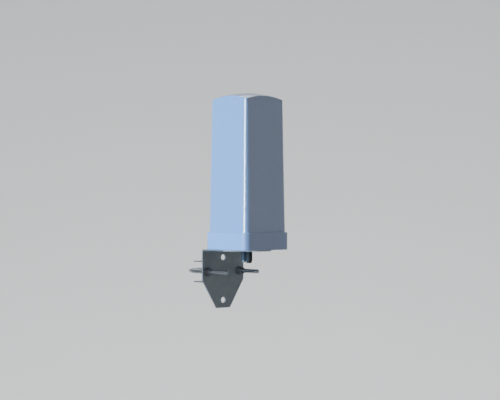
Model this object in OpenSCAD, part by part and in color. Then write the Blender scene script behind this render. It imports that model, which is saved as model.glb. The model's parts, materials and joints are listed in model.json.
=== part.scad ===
// Mast-mounted directional antenna: a tapered square radome with a domed top stands on a
// wider base housing, and an L-shaped steel bracket clamps it beside a mast with one U-bolt.
// +Z is up, the origin is on the mast's axis at the U-bolt's plane, and the antenna is at -Y.

/* [Mast clamp] */
// Outside diameter of the mast that the clamp holds
mast_d = 50.8; // [48:0.1:52]
// Diameter of the U-bolt's rod
rod_d = 8; // [6:1:8]
// Distance between the centres of the U-bolt's legs
leg_spacing = 80; // [78:1:82]
// How far the legs stand out in front of the bracket's plate
leg_reach = 52.5; // [30:0.5:70]
// Width of the clamp's saddle
saddle_w = 95; // [94:1:98]
// Height of the clamp's saddle
saddle_h = 40; // [36:1:40]
// Thickness of the saddle's sheet
saddle_t = 2; // [1.5:0.5:2.5]

/* [Bracket] */
// Thickness of the bracket's sheet
bracket_t = 2.5; // [2:0.5:3]
// Width of the bracket
bracket_w = 103; // [100:1:106]
// Width of each narrow end of the bracket
bracket_end_w = 34; // [30:1:50]
// Length of the full-width stretch of each leg of the bracket
bracket_straight = 58; // [55:1:62]
// Length of the tapered stretch of each leg of the bracket
bracket_taper = 52.6; // [45:0.1:55]
// Distance between the two holes on the plate's centre line
hole_spacing = 80; // [76:1:84]
// Diameter of those two holes
hole_d = 11; // [9:0.5:11]

/* [Radome] */
// Distance from the mast's axis to the antenna's axis
axis_offset = 108.2; // [106:0.1:112]
// Width of the radome where it leaves the base housing
radome_w = 105; // [102:0.1:105]
// Width of the radome at its upper corners
radome_top_w = 95.6; // [80:0.1:102]
// Height of the radome's upper corners above the base housing
radome_h = 242.4; // [236:0.1:246]
// Radius of the dome on top
dome_r = 165; // [150:1:220]
// Thickness of the radome's wall
wall = 2.5; // [2:0.1:3]

/* [Base housing] */
// Width of the base housing
base_w = 112.2; // [112:0.1:114]
// Height of the base housing
base_h = 32; // [28:1:40]
// Height of the base housing's underside above the U-bolt
base_z = 42; // [41:1:46]

/* [Ports] */
// Distance between the two jacks
jack_pitch = 14; // [14:0.5:16]
// Diameter of a jack's mating thread
jack_d = 11.1; // [10:0.1:11.5]
// How far a jack stands out below the base housing
jack_drop = 23.5; // [22:0.5:28]

/* [Radiating boards] */
// Number of dipoles on each board
dipoles = 14; // [8:1:16]
// Half length of the longest dipole
dipole_half = 52; // [40:1:54]
// Ratio of each dipole to the one below it
dipole_ratio = 0.88; // [0.84:0.01:0.9]
// Thickness of a board
board_t = 1.6; // [0.8:0.2:1.6]

/* [Hidden] */
$fn = 64;
eps = 0.01;
fit = 0.05;

// Clamp
leg_x = leg_spacing / 2;
rod_r = rod_d / 2;
saddle_r = mast_d / 2 + 0.1;
bend_r = leg_x - rod_r;
bend_y = mast_d / 2 + 0.2 - bend_r;
leg_hole_d = rod_d + 1.5;
tip_chamfer = 1;
washer_r = 8.2;
washer_t = 1.6;
spring_washer_r = 7.2;
spring_washer_t = 2;
nut_af = 13;
nut_h = 6.5;
nut_gap = 0.2;

// Bracket: its plate hangs below the base, and its flange runs forward under it
plate_back = -40;
plate_front = plate_back - bracket_t;
bend_in = 2;
bend_out = bend_in + bracket_t;
plug_slot_r = 8.5;
bracket_len = bracket_straight + bracket_taper;
plate_bottom = base_z - bracket_len;
flange_end = plate_front - bracket_len;
upper_hole_z = base_z - 16;
saddle_y = plate_back + 0.3;
saddle_depth = 27.2;

// Base housing and radome
axis_y = -axis_offset;
floor_t = 4;
floor_top = base_z + floor_t;
base_wall = 2.9;
base_corner = 14;
gasket_t = 1.5;
radome_z = floor_top + gasket_t;
base_top = base_z + base_h;
radome_corner = 12;
radome_corner_at = radome_w / 2 - radome_corner;
radome_slope = (radome_w - radome_top_w) / 2 / radome_h;
radome_foot_w = radome_w + 2 * radome_slope * (base_top - radome_z);
corner_z = base_top + radome_h;
corner_reach = sqrt(2) * radome_corner_at + radome_top_w / 2 - radome_corner_at;
dome_z = corner_z - sqrt(pow(dome_r, 2) - pow(corner_reach, 2));
dome_rise = 30;
boss_xy = 44.3;
boss_r = 6.4;
boss_h = 10;

// Fasteners and the vent, with their places on the base seen from the antenna's axis
screw_r = 2;
screw_head_r = 3.8;
screw_head_h = 2;
bracket_screw_r = 2.5;
bracket_screw_head_r = 4.9;
bracket_screws_xy = [[-30, 38], [30, 38], [-16, -30], [16, -30]];
insert_r = 3.6;
insert_h = 11.4;
post_r = 4;
post_xy = [[-36, 0], [36, 0], [0, -36], [0, 36]];
ground_screw_r = 1.5;
ground_screw_len = 9;
vent_xy = [34, -46];
vent_r = 5;
vent_stem_r = 3;

// Jacks: the front one stands near the antenna's axis, the rear one towards the mast
jack_offset = 4.3;
front_jack_y = axis_y - jack_offset;
rear_jack_y = front_jack_y + jack_pitch;
jack_z = base_z - jack_drop;
jack_nose = 3.5;
jack_nose_r = jack_d / 2 - 1.35;
jack_hex_af = 13;
jack_hex_z = base_z - 3.5;
jack_seal_t = 1;
jack_seal_w = 1.5;
jack_nut_h = 2.5;
jack_neck_r = 4.75;
jack_tail_r = 3.2;
jack_bore_depth = 16;
jack_rear_z = floor_top + 6;
jack_top = jack_rear_z + 4;
jack_core_r = 2.2;
contact_r = 0.65;
coax_r = 1.5;
coax_z = jack_top - 1.4;
jog_z = 74;
jog_h = 14;
cap_skin = 1.2;
cap_d = 12.4;
cap_top = jack_hex_z - 1;

// Ground plate and boards, which cross on the antenna's axis
ground_z = 60;
ground_t = 1.5;
ground_w = 92;
board_z = ground_z + ground_t + 0.1;
board_top = 306;
coax_top = board_top - 14;
board_mid = (board_z + board_top) / 2;
board_half = 57;
board_half_top = 24;
first_dipole_z = 76;
first_gap = 32;
strip_w = 3;
copper_t = 0.2;
boom_x = board_t + 1.6;
boom_over = 4;

// Clips that hold the boards to the ground plate, with a rivet through each leg
clip_u = 30;
clip_w = 10;
clip_t = 1;
clip_foot = 8;
clip_h = 9;
rivet_r = 1;
rivet_out = 5;
rivet_up = 4.5;
rivet_head_r = 1.8;
rivet_head_h = 0.8;

// ---- Shared shapes ----

// A square with round corners, centred
module rounded_square(w, r) {
    square([w, w - 2 * r], center = true);
    square([w - 2 * r, w], center = true);
    for (x = [-1, 1], y = [-1, 1])
        translate([x, y] * (w / 2 - r)) circle(r = r);
}

module on_axis() {
    translate([0, axis_y, 0]) children();
}

// Places its children at each corner of a centred square
module at_corners(half) {
    for (x = [-1, 1], y = [-1, 1])
        translate([x * half, y * half, 0]) children();
}

module at_points(points) {
    for (p = points)
        translate([p[0], p[1], 0]) children();
}

// A rod along Y from y0 to y1
module y_rod(r, y0, y1) {
    translate([0, y0, 0]) rotate([-90, 0, 0]) cylinder(r = r, h = y1 - y0);
}

// A hexagon prism along Z with flats facing +X and -X
module hex_prism(af, h) {
    rotate(30) cylinder(d = af / cos(30), h = h, $fn = 6);
}

// A hexagon prism whose corners are chamfered at both ends
module chamfered_hex(af, h) {
    corner = af / 2 / cos(30);
    drop = (corner - af / 2) * tan(30);
    intersection() {
        hex_prism(af, h);
        rotate_extrude()
            polygon([
                [0, 0], [af / 2, 0], [corner, drop], [corner, h - drop], [af / 2, h], [0, h]
            ]);
    }
}

// ---- Radome and base housing ----

// A tapered square block under a sphere: the radome's outside, or its inside when inset
// and begun a little lower, so that it is open at the foot
module radome_block(inset, drop) {
    h = corner_z + dome_rise - radome_z + drop;
    c = radome_corner_at;
    r0 = radome_foot_w / 2 + radome_slope * drop - inset - c;
    r1 = r0 - radome_slope * h;
    intersection() {
        translate([0, 0, radome_z - drop]) {
            for (a = [0, 90]) rotate([90, 0, a]) translate([0, 0, -c]) linear_extrude(height = 2 * c)
                polygon([[-c - r0, 0], [c + r0, 0], [c + r1, h], [-c - r1, h]]);
            at_corners(c) cylinder(r1 = r0, r2 = r1, h = h);
        }
        translate([0, 0, dome_z]) sphere(r = dome_r - inset, $fn = 160);
    }
}

module radome() {
    color([0.9, 0.92, 0.95]) on_axis() difference() {
        union() {
            difference() {
                radome_block(0, 0);
                radome_block(wall, 2);
            }
            at_corners(boss_xy) translate([0, 0, radome_z]) cylinder(r = boss_r, h = boss_h);
        }
        at_corners(boss_xy) translate([0, 0, radome_z - 1]) cylinder(r = screw_r + fit, h = boss_h);
    }
}

module base_housing() {
    inner_w = base_w - 2 * base_wall;
    insert_boss_h = 8;
    pilot_h = ground_screw_len + 3;
    color([0.87, 0.89, 0.92]) on_axis() difference() {
        union() {
            difference() {
                translate([0, 0, base_z]) linear_extrude(height = base_h)
                    rounded_square(base_w, base_corner);
                translate([0, 0, floor_top]) linear_extrude(height = base_h)
                    rounded_square(inner_w, base_corner - base_wall);
            }
            at_points(bracket_screws_xy)
                translate([0, 0, floor_top - 1]) cylinder(r = insert_r + 2.4, h = insert_boss_h + 1);
            at_points(post_xy)
                translate([0, 0, floor_top - 1]) cylinder(r = post_r, h = ground_z - floor_top + 1);
        }
        at_points(bracket_screws_xy)
            translate([0, 0, base_z - 1]) cylinder(r = insert_r + fit, h = floor_t + insert_boss_h + 2);
        at_points(post_xy)
            translate([0, 0, ground_z - pilot_h]) cylinder(r = ground_screw_r + fit, h = pilot_h + 1);
        at_corners(boss_xy) translate([0, 0, base_z - 1]) {
            cylinder(r = screw_head_r + 0.4, h = screw_head_h + 1.3);
            cylinder(r = screw_r + 0.2, h = floor_t + 2);
        }
        for (y = [front_jack_y, rear_jack_y])
            translate([0, y - axis_y, base_z - 1])
                cylinder(r = jack_neck_r + fit, h = floor_t + 2);
        translate([vent_xy[0], vent_xy[1], base_z - 1]) {
            cylinder(r = vent_r + fit, h = 2.5 + fit);
            cylinder(r = vent_stem_r + fit, h = floor_t + 2);
        }
    }
}

module base_gasket() {
    inset = 0.2;
    depth = 3.5;
    color([0.12, 0.12, 0.13]) on_axis()
        translate([0, 0, floor_top]) linear_extrude(height = gasket_t) difference() {
            rounded_square(radome_foot_w - 2 * inset, radome_corner - inset);
            rounded_square(radome_foot_w - 2 * depth, radome_corner - depth);
        }
}

module radome_screws() {
    color([0.7, 0.71, 0.72]) on_axis() at_corners(boss_xy) {
        translate([0, 0, base_z + 0.3]) difference() {
            cylinder(r = screw_head_r, h = screw_head_h);
            translate([0, 0, -1]) hex_prism(2.5, screw_head_h + 0.2);
        }
        translate([0, 0, base_z + screw_head_h + 0.2]) cylinder(r = screw_r, h = boss_h + 1);
    }
}

module base_inserts() {
    color([0.75, 0.6, 0.3]) on_axis() at_points(bracket_screws_xy)
        translate([0, 0, base_z + 0.2]) difference() {
            cylinder(r = insert_r, h = insert_h);
            translate([0, 0, -1]) cylinder(r = bracket_screw_r + fit, h = insert_h + 2);
        }
}

// A flush breather plug with a drain hole
module vent_plug() {
    head_h = 1.3;
    color([0.16, 0.16, 0.17]) on_axis() translate([vent_xy[0], vent_xy[1], 0]) difference() {
        union() {
            translate([0, 0, base_z + 0.2]) cylinder(r = vent_r, h = head_h);
            translate([0, 0, base_z + 0.1 + head_h]) cylinder(r = vent_stem_r, h = 5);
        }
        translate([0, 0, base_z - 1]) cylinder(r = 1, h = 10);
    }
}

// ---- Bracket ----

// Cuts one corner of the bracket's outline, drawn with the leg's tip towards +Y
module taper_cut() {
    half = bracket_w / 2;
    narrow = bracket_end_w / 2;
    over = 1.1;
    clear = 5;
    polygon([
        [half, bracket_straight], [half + clear, bracket_straight],
        [half + clear, bracket_len + clear],
        [half - over * (half - narrow), bracket_straight + over * bracket_taper]
    ]);
}

module both_taper_cuts(h) {
    linear_extrude(height = h) {
        taper_cut();
        mirror([1, 0]) taper_cut();
    }
}

// The bracket's folded section, with Y and Z as its axes
module bracket_section() {
    centre = [plate_back - bend_out, base_z - bend_out];
    translate([plate_front, plate_bottom]) square([bracket_t, centre[1] - plate_bottom]);
    translate([flange_end, base_z - bracket_t]) square([centre[0] - flange_end, bracket_t]);
    translate(centre) intersection() {
        difference() {
            circle(r = bend_out);
            circle(r = bend_in);
        }
        square(bend_out);
    }
}

module bracket() {
    hole_r = bracket_screw_r + 0.1;
    color([0.42, 0.45, 0.47]) difference() {
        translate([-bracket_w / 2, 0, 0]) rotate([90, 0, 90])
            linear_extrude(height = bracket_w) bracket_section();
        translate([0, plate_back + 1, base_z]) rotate([-90, 0, 0])
            translate([0, 0, -bracket_t - 2]) both_taper_cuts(bracket_t + 3);
        translate([0, plate_front, base_z - bracket_t - 1]) rotate(180)
            both_taper_cuts(bracket_t + 2);
        for (x = [-leg_x, leg_x])
            translate([x, 0, 0]) y_rod(leg_hole_d / 2, plate_front - 1, plate_back + 1);
        for (z = [upper_hole_z, upper_hole_z - hole_spacing])
            translate([0, 0, z]) y_rod(hole_d / 2, plate_front - 1, plate_back + 1);
        on_axis() at_points(bracket_screws_xy) translate([0, 0, base_z - bracket_t]) {
            translate([0, 0, -1]) cylinder(r = hole_r, h = bracket_t + 2);
            cylinder(r1 = bracket_screw_head_r + 0.2, r2 = hole_r, h = bracket_t);
        }
        translate([0, 0, base_z - bracket_t - 1]) linear_extrude(height = bracket_t + 2) {
            translate([-plug_slot_r, front_jack_y]) square([2 * plug_slot_r, jack_pitch]);
            translate([0, front_jack_y]) circle(r = plug_slot_r);
            translate([0, rear_jack_y]) circle(r = plug_slot_r);
        }
    }
}

// Countersunk screws that lie flush with the flange's underside
module bracket_screws() {
    color([0.68, 0.69, 0.7]) on_axis() at_points(bracket_screws_xy) {
        translate([0, 0, base_z - bracket_t]) difference() {
            cylinder(r1 = bracket_screw_head_r, r2 = bracket_screw_r, h = bracket_t);
            translate([0, 0, -1]) hex_prism(3, 2.4);
        }
        translate([0, 0, base_z - eps]) cylinder(r = bracket_screw_r, h = 10);
    }
}

// ---- Mast clamp ----

module u_bolt() {
    tip_y = plate_front - leg_reach;
    color([0.72, 0.73, 0.74]) {
        translate([0, bend_y, 0]) rotate_extrude(angle = 180)
            translate([leg_x, 0]) circle(r = rod_r);
        for (x = [-leg_x, leg_x]) translate([x, 0, 0]) {
            y_rod(rod_r, tip_y + tip_chamfer, bend_y);
            translate([0, tip_y, 0]) rotate([-90, 0, 0])
                cylinder(r1 = rod_r - tip_chamfer, r2 = rod_r, h = tip_chamfer);
        }
    }
}

// The saddle's channel section, with Y and Z as its axes
module saddle_section() {
    round_out = 3;
    round_in = round_out - saddle_t;
    difference() {
        union() {
            square([saddle_depth, saddle_h - 2 * round_out], center = true);
            translate([round_out / 2, 0])
                square([saddle_depth - round_out, saddle_h], center = true);
            for (z = [-1, 1])
                translate([round_out - saddle_depth / 2, z * (saddle_h / 2 - round_out)])
                    circle(r = round_out);
        }
        translate([saddle_t, 0])
            square([saddle_depth, saddle_h - 2 * round_out], center = true);
        translate([round_out / 2 + 1, 0])
            square([saddle_depth - round_out + 2, saddle_h - 2 * saddle_t], center = true);
        for (z = [-1, 1])
            translate([round_out - saddle_depth / 2, z * (saddle_h / 2 - round_out)])
                circle(r = round_in);
    }
}

module saddle() {
    color([0.7, 0.72, 0.73]) difference() {
        translate([-saddle_w / 2, saddle_y + saddle_depth / 2, 0]) rotate([90, 0, 90])
            linear_extrude(height = saddle_w) saddle_section();
        translate([0, 0, -saddle_h]) cylinder(r = saddle_r, h = 2 * saddle_h, $fn = 128);
        for (x = [-leg_x, leg_x])
            translate([x, 0, 0]) y_rod(leg_hole_d / 2, saddle_y - 1, saddle_y + saddle_t + 1);
    }
}

// A flat ring on a leg of the U-bolt, in front of the plate
module leg_ring(side, r, hole_r, front, t) {
    translate([side * leg_x, 0, 0]) difference() {
        y_rod(r, front, front + t);
        y_rod(hole_r, front - 1, front + t + 1);
    }
}

module washer(side) {
    color([0.45, 0.46, 0.47])
        leg_ring(side, washer_r, rod_r + 0.2, plate_front - washer_t, washer_t);
}

module spring_washer(side) {
    front = plate_front - washer_t - spring_washer_t;
    color([0.3, 0.31, 0.32]) difference() {
        leg_ring(side, spring_washer_r, rod_r + 0.15, front, spring_washer_t);
        translate([side * leg_x, front - 1, 0]) rotate([0, 20, 0])
            translate([0, 0, -0.5]) cube([10, spring_washer_t + 2, 1]);
    }
}

module nut(side) {
    front = plate_front - washer_t - spring_washer_t - nut_gap - nut_h;
    color([0.5, 0.51, 0.52]) translate([side * leg_x, front, 0]) rotate([-90, 0, 0])
        difference() {
            chamfered_hex(nut_af, nut_h);
            translate([0, 0, -1]) cylinder(r = rod_r + fit, h = nut_h + 2);
        }
}

// ---- Ports ----

module jack(y) {
    color([0.62, 0.66, 0.72]) translate([0, y, 0]) difference() {
        union() {
            translate([0, 0, jack_z]) cylinder(r = jack_nose_r, h = jack_nose + 1);
            translate([0, 0, jack_z + jack_nose])
                cylinder(r = jack_d / 2, h = jack_hex_z - jack_z - jack_nose);
            translate([0, 0, jack_hex_z]) rotate(30)
                hex_prism(jack_hex_af, base_z - jack_seal_t - jack_hex_z);
            translate([0, 0, base_z - jack_seal_t - 1])
                cylinder(r = jack_neck_r, h = jack_rear_z - base_z + jack_seal_t + 1);
            translate([0, 0, jack_rear_z - 1])
                cylinder(r = jack_tail_r, h = jack_top - jack_rear_z + 1);
        }
        translate([0, 0, jack_z - 1]) cylinder(r = jack_nose_r - 0.8, h = jack_bore_depth + 1);
        translate([0, 0, jack_z - 1]) cylinder(r = jack_core_r + fit, h = jack_top - jack_z + 2);
    }
}

module jack_seal(y) {
    color([0.1, 0.1, 0.11]) translate([0, y, base_z - jack_seal_t]) difference() {
        cylinder(r = jack_neck_r + jack_seal_w, h = jack_seal_t);
        translate([0, 0, -1]) cylinder(r = jack_neck_r + fit, h = jack_seal_t + 2);
    }
}

module jack_nut(y) {
    color([0.6, 0.62, 0.65]) translate([0, y, floor_top]) difference() {
        rotate(30) chamfered_hex(jack_hex_af, jack_nut_h);
        translate([0, 0, -1]) cylinder(r = jack_neck_r + fit, h = jack_nut_h + 2);
    }
}

module jack_insulator(y) {
    low = jack_z + 6;
    color([0.95, 0.95, 0.92]) translate([0, y, low]) difference() {
        cylinder(r = jack_core_r, h = jack_top - 2 - low);
        translate([0, 0, -1]) cylinder(r = contact_r + fit, h = jack_top - low);
    }
}

module jack_contact(y) {
    low = jack_z + 3;
    color([0.85, 0.68, 0.3]) translate([0, y, low])
        cylinder(r = contact_r, h = jack_top - 2.2 - low);
}

// A rigid feed line of straight runs between points on the antenna's centre plane, each
// given as Y and Z
module feed_line(points) {
    lap = 0.4;
    color([0.8, 0.5, 0.3]) for (i = [1 : len(points) - 1]) {
        run = points[i] - points[i - 1];
        translate([0, points[i - 1][0], points[i - 1][1]]) rotate([-atan2(run[0], run[1]), 0, 0])
            translate([0, 0, -lap]) cylinder(r = coax_r, h = norm(run) + 2 * lap);
    }
}

module front_coax() {
    feed_line([[front_jack_y, coax_z], [front_jack_y, coax_top]]);
}

// The rear line jogs in to the boards above the ground plate
module rear_coax() {
    near_y = axis_y + jack_offset;
    feed_line([
        [rear_jack_y, coax_z], [rear_jack_y, jog_z],
        [near_y, jog_z + jog_h], [near_y, coax_top]
    ]);
}

// A push-on cap over the front jack, with a narrower pull at its lower end
module dust_cap() {
    step_z = jack_z + jack_nose - cap_skin;
    color([0.1, 0.1, 0.11]) translate([0, front_jack_y, 0]) difference() {
        union() {
            translate([0, 0, step_z]) cylinder(r = cap_d / 2, h = cap_top - step_z);
            translate([0, 0, jack_z - cap_skin])
                cylinder(r = cap_d / 2 - cap_skin, h = jack_nose + 0.5);
        }
        translate([0, 0, jack_z - fit]) cylinder(r = jack_nose_r + fit, h = jack_nose + 1);
        translate([0, 0, jack_z + jack_nose - fit])
            cylinder(r = jack_d / 2 + fit, h = jack_drop);
    }
}

// ---- Inside the radome ----

module ground_plate() {
    cut = 7;
    half = ground_w / 2;
    color([0.78, 0.8, 0.82]) on_axis() difference() {
        translate([0, 0, ground_z]) linear_extrude(height = ground_t) difference() {
            square(ground_w, center = true);
            for (a = [0 : 90 : 270])
                rotate(a) polygon([[half, half - cut], [half, half], [half - cut, half]]);
            at_points(post_xy) circle(r = ground_screw_r + 0.15);
            for (y = [front_jack_y, rear_jack_y])
                translate([0, y - axis_y]) circle(r = coax_r + 1);
            rotate(45) for (a = [0 : 90 : 270])
                rotate(a) translate([clip_u, rivet_out]) circle(r = rivet_r + fit);
        }
    }
}

module ground_screws() {
    color([0.7, 0.71, 0.72]) on_axis() at_points(post_xy) {
        translate([0, 0, ground_z - ground_screw_len])
            cylinder(r = ground_screw_r, h = ground_screw_len + ground_t + 0.2);
        translate([0, 0, ground_z + ground_t]) difference() {
            cylinder(r = 2.9, h = 2);
            translate([0, 0, 1]) hex_prism(2, 2);
        }
    }
}

// A board along X, standing on the ground plate
module board(slot_from, slot_to) {
    color([0.2, 0.42, 0.26]) on_axis() difference() {
        translate([0, board_t / 2, 0]) rotate([90, 0, 0]) linear_extrude(height = board_t)
            polygon([
                [-board_half, board_z], [board_half, board_z],
                [board_half_top, board_top], [-board_half_top, board_top]
            ]);
        translate([-board_t / 2 - 0.1, -2, slot_from])
            cube([board_t + 0.2, 4, slot_to - slot_from]);
        for (u = [-clip_u, clip_u])
            translate([u, 0, board_z + rivet_up]) y_rod(rivet_r + fit, -2, 2);
    }
}

function dipole_len(i) = dipole_half * pow(dipole_ratio, i);
function dipole_z(i) =
    first_dipole_z + first_gap * (1 - pow(dipole_ratio, i)) / (1 - dipole_ratio);

// Copper on one face of a board, on the +X half: a boom strip with every second dipole arm
module copper_half(first) {
    last_z = dipole_z(dipoles - 1);
    translate([boom_x, 0, first_dipole_z - boom_over])
        cube([strip_w, copper_t, last_z - first_dipole_z + 2 * boom_over]);
    for (i = [first : 2 : dipoles - 1])
        translate([boom_x, 0, dipole_z(i) - strip_w / 2])
            cube([dipole_len(i) - boom_x, copper_t, strip_w]);
}

module board_copper() {
    color([0.85, 0.5, 0.25]) on_axis() for (m = [0, 1]) mirror([m, 0, 0]) {
        translate([0, board_t / 2, 0]) copper_half(m);
        translate([0, -board_t / 2 - copper_t, 0]) copper_half(1 - m);
    }
}

// Turns a board about the antenna's axis
module turned(a) {
    on_axis() rotate(a) translate([0, -axis_y, 0]) children();
}

// An angle clip beside a board
module clip() {
    translate([clip_u, 0, board_z]) difference() {
        translate([-clip_w / 2, board_t / 2, 0]) {
            cube([clip_w, clip_t, clip_h]);
            translate([0, 0, -0.1]) cube([clip_w, clip_foot, clip_t]);
        }
        translate([0, rivet_out, -1]) cylinder(r = rivet_r + fit, h = clip_t + 2);
        translate([0, 0, rivet_up]) y_rod(rivet_r + fit, 0, 3);
    }
}

// The rivets of one clip: one through the ground plate and one through the board
module rivet_pair() {
    back = -board_t / 2;
    front = board_t / 2 + clip_t;
    translate([clip_u, rivet_out, 0]) {
        translate([0, 0, ground_z - rivet_head_h]) {
            cylinder(r = rivet_r, h = ground_t + clip_t + 2 * rivet_head_h);
            cylinder(r = rivet_head_r, h = rivet_head_h);
        }
        translate([0, 0, board_z + clip_t - 0.1]) cylinder(r = rivet_head_r, h = rivet_head_h);
    }
    translate([clip_u, 0, board_z + rivet_up]) {
        y_rod(rivet_r, back - rivet_head_h, front + rivet_head_h);
        y_rod(rivet_head_r, back - rivet_head_h, back);
        y_rod(rivet_head_r, front, front + rivet_head_h);
    }
}

// Places its children beside each half of each board
module at_clips() {
    on_axis() for (a = [45 : 90 : 315])
        rotate(a) children();
}

module board_clips() {
    color([0.76, 0.78, 0.8]) at_clips() clip();
}

module clip_rivets() {
    color([0.8, 0.81, 0.82]) at_clips() rivet_pair();
}

// A foam block that centres the boards under the dome
module top_foam() {
    foam_r = 28;
    foam_z = board_top - 3;
    slot_w = board_t + 0.4;
    color([0.95, 0.95, 0.9]) on_axis() difference() {
        intersection() {
            translate([0, 0, foam_z]) cylinder(r = foam_r, h = 40);
            translate([0, 0, dome_z]) sphere(r = dome_r - wall - 0.2, $fn = 160);
        }
        for (a = [45, 135])
            rotate(a) translate([-foam_r - 2, -slot_w / 2, foam_z - 1])
                cube([2 * foam_r + 4, slot_w, board_top - foam_z + 1.2]);
    }
}

radome();
base_housing();
base_gasket();
radome_screws();
bracket();
bracket_screws();
base_inserts();
vent_plug();
washer(-1);  // left_washer
washer(1);  // right_washer
spring_washer(-1);  // left_spring_washer
spring_washer(1);  // right_spring_washer
nut(-1);  // left_nut
nut(1);  // right_nut
u_bolt();
saddle();
jack(front_jack_y);  // front_jack
jack(rear_jack_y);  // rear_jack
jack_seal(front_jack_y);  // front_jack_seal
jack_seal(rear_jack_y);  // rear_jack_seal
jack_nut(front_jack_y);  // front_jack_nut
jack_nut(rear_jack_y);  // rear_jack_nut
jack_insulator(front_jack_y);  // front_insulator
jack_insulator(rear_jack_y);  // rear_insulator
jack_contact(front_jack_y);  // front_contact
jack_contact(rear_jack_y);  // rear_contact
front_coax();
rear_coax();
dust_cap();
ground_plate();
ground_screws();
turned(45) board(board_mid, board_top + 1);  // board_a
turned(-45) board(board_z - 1, board_mid + 0.1);  // board_b
turned(45) board_copper();  // board_a_copper
turned(-45) board_copper();  // board_b_copper
board_clips();
clip_rivets();
top_foam();
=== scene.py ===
import json
import math

import bmesh
import bpy
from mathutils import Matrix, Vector

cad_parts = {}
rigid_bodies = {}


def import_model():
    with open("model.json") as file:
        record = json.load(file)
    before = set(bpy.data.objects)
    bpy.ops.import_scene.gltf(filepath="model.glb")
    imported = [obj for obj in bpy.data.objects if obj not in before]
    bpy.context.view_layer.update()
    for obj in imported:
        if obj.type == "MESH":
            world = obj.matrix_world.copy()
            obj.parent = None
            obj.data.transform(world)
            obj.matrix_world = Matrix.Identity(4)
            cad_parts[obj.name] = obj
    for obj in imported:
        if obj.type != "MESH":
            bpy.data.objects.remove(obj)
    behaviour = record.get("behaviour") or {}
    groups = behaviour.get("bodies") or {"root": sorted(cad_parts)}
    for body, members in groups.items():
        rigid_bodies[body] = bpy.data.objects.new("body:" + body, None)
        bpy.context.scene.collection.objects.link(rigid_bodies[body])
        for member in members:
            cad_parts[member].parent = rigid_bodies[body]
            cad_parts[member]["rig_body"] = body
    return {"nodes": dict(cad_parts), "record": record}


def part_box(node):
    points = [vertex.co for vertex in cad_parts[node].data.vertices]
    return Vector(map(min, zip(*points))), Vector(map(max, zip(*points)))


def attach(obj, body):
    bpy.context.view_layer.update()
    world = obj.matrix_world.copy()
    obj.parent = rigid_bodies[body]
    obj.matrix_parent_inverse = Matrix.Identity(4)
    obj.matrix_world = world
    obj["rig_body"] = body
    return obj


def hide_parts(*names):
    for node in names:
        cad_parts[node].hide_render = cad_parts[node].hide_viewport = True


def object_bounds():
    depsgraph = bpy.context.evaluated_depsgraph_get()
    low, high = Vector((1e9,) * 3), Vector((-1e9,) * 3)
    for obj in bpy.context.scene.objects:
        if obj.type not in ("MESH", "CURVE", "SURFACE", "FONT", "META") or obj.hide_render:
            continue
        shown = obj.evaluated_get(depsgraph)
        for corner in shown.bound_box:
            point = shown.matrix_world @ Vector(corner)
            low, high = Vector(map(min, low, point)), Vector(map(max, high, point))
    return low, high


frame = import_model()
cad_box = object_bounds()
scene = bpy.context.scene
MM = 0.001


# ---- Materials ----

# A Mix node's sockets for two colours, and its output for their mix
FIRST_COLOUR, SECOND_COLOUR, MIXED_COLOUR = 6, 7, 2
# The cosine between the rounded normal and the true one where wear starts, and where it is full
EDGE_STARTS = 0.98
EDGE_FULL = 0.7


class Look:
    """A material built node by node round one Principled BSDF, in the object's own metres."""

    def __init__(self, name, **fixed):
        self.material = bpy.data.materials.new(name)
        self.material.use_nodes = True
        tree = self.material.node_tree
        self.nodes, self.links = tree.nodes, tree.links
        self.bsdf = self.nodes["Principled BSDF"]
        for socket, value in fixed.items():
            self.bsdf.inputs[socket.replace("_", " ")].default_value = value
        self.coords = self.nodes.new("ShaderNodeTexCoord").outputs["Object"]

    def add(self, kind, inputs, **settings):
        """A new node. An input is a value, or another node's output to link to it."""
        node = self.nodes.new(kind)
        for key, value in settings.items():
            setattr(node, key, value)
        for key, value in inputs.items():
            if isinstance(value, bpy.types.NodeSocket):
                self.links.new(value, node.inputs[key])
            else:
                node.inputs[key].default_value = value
        return node

    def noise(self, scale, detail=3.0, stretch=(1, 1, 1), rough=0.5):
        vector = self.add("ShaderNodeMapping", {"Vector": self.coords, "Scale": stretch}).outputs[0]
        return self.add("ShaderNodeTexNoise", {
            "Vector": vector, "Scale": scale, "Detail": detail, "Roughness": rough}).outputs[0]

    def span(self, value, a, b, low=0.0, high=1.0):
        """Maps the stretch of value from a to b onto the stretch from low to high."""
        return self.add("ShaderNodeMapRange", {
            "Value": value, "From Min": a, "From Max": b, "To Min": low, "To Max": high}).outputs[0]

    def maths(self, operation, a, b):
        return self.add("ShaderNodeMath", {0: a, 1: b}, operation=operation).outputs[0]

    def blend(self, factor, a, b):
        node = self.add("ShaderNodeMix", {0: factor}, data_type="RGBA")
        for socket, value in ((FIRST_COLOUR, a), (SECOND_COLOUR, b)):
            if isinstance(value, bpy.types.NodeSocket):
                self.links.new(value, node.inputs[socket])
            else:
                node.inputs[socket].default_value = (*value, 1.0)
        return node.outputs[MIXED_COLOUR]

    def edges(self, radius):
        """1 on sharp edges and 0 on open faces."""
        round_normal = self.add("ShaderNodeBevel", {"Radius": radius}, samples=4).outputs[0]
        flat_normal = self.nodes.new("ShaderNodeNewGeometry").outputs["Normal"]
        dot = self.add("ShaderNodeVectorMath", {0: round_normal, 1: flat_normal},
                       operation="DOT_PRODUCT").outputs["Value"]
        return self.span(dot, EDGE_STARTS, EDGE_FULL)

    def bump(self, height, distance, strength, under=None):
        """Tilts the normal as if the surface rose by distance metres where height is 1."""
        inputs = {"Height": height, "Distance": distance, "Strength": strength}
        if under is not None:
            inputs["Normal"] = under
        return self.add("ShaderNodeBump", inputs).outputs[0]

    def use(self, **sockets):
        """Links node outputs to the shader's sockets and gives the finished material."""
        for socket, value in sockets.items():
            self.links.new(value, self.bsdf.inputs[socket.replace("_", " ")])
        return self.material


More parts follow.
